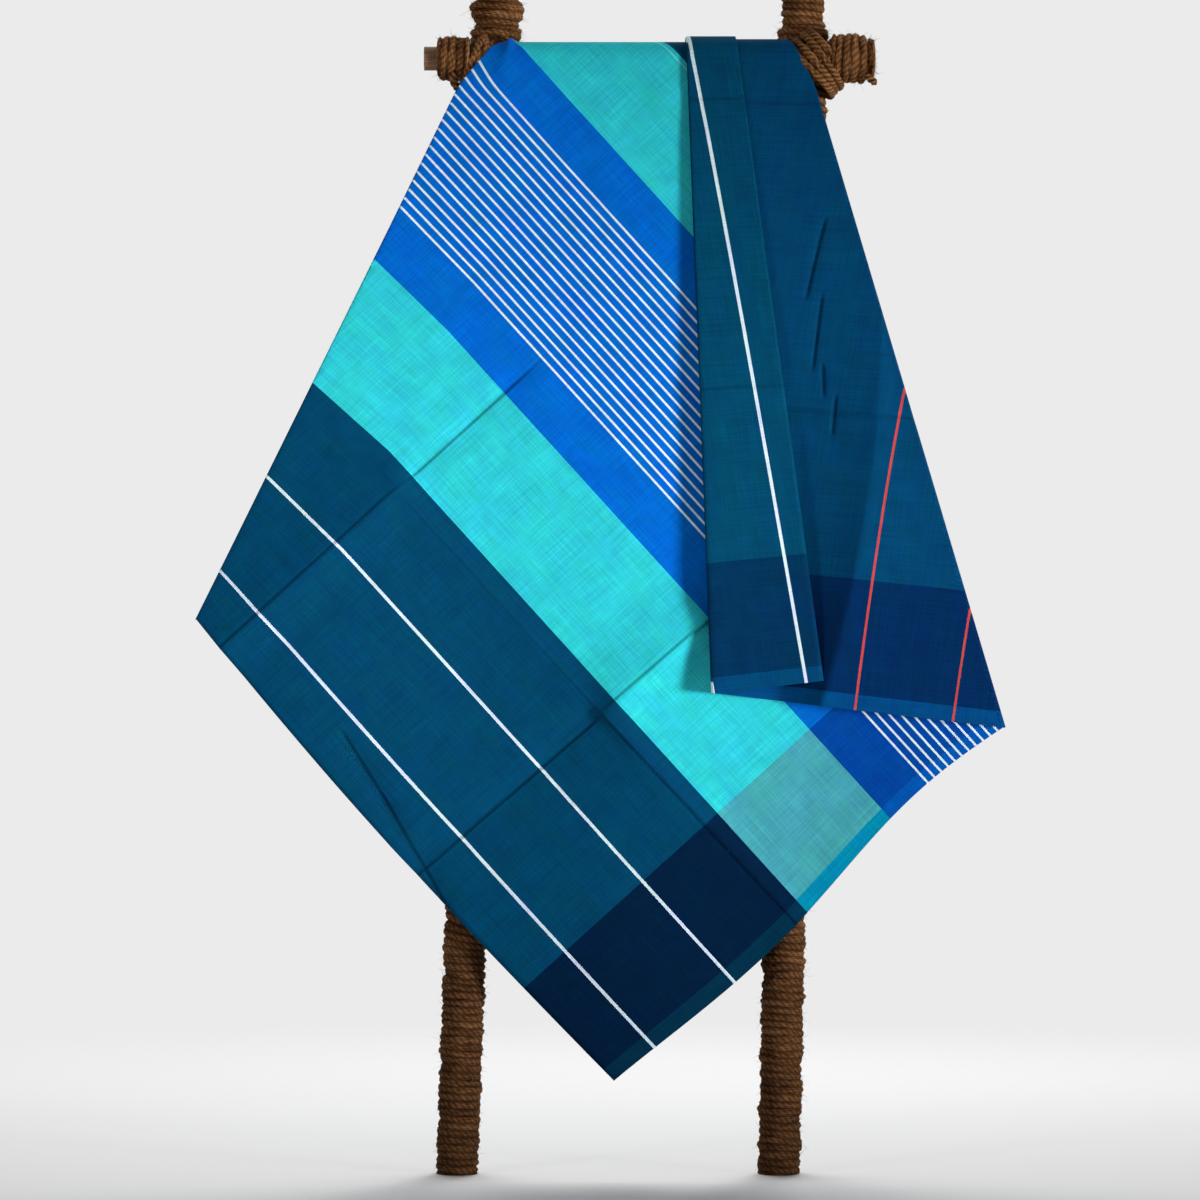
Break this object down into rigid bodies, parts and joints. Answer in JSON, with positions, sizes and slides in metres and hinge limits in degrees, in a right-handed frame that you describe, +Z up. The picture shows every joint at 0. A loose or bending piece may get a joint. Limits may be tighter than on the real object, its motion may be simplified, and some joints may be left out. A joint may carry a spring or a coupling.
{
  "type": "sarong on a rope-wound rack",
  "caption": "Striped cotton tube sarong, folded on the slant and hung over the rung of a rope-wound two-pole rack.",
  "frame": {"origin": "on the floor under the middle of the whole part's box", "axes": "+Z up, -Y towards the front, +X to the viewer's right seen from the front"},
  "size_m": [0.8452, 0.1154, 1.276],
  "materials": {
    "cloth": "matte",
    "wound_pole": "matte",
    "rope": "matte",
    "bare_wood": "matte"
  },
  "bodies": {
    "root": {"sarong": "cloth", "upright_left": "wound_pole", "upright_right": "wound_pole", "rung": "bare_wood", "lashing_left_above": "rope", "lashing_left_below": "rope", "lashing_left_rung": "rope", "lashing_right_above": "rope", "lashing_right_below": "rope", "lashing_right_rung": "rope"}
  },
  "joints": []
}
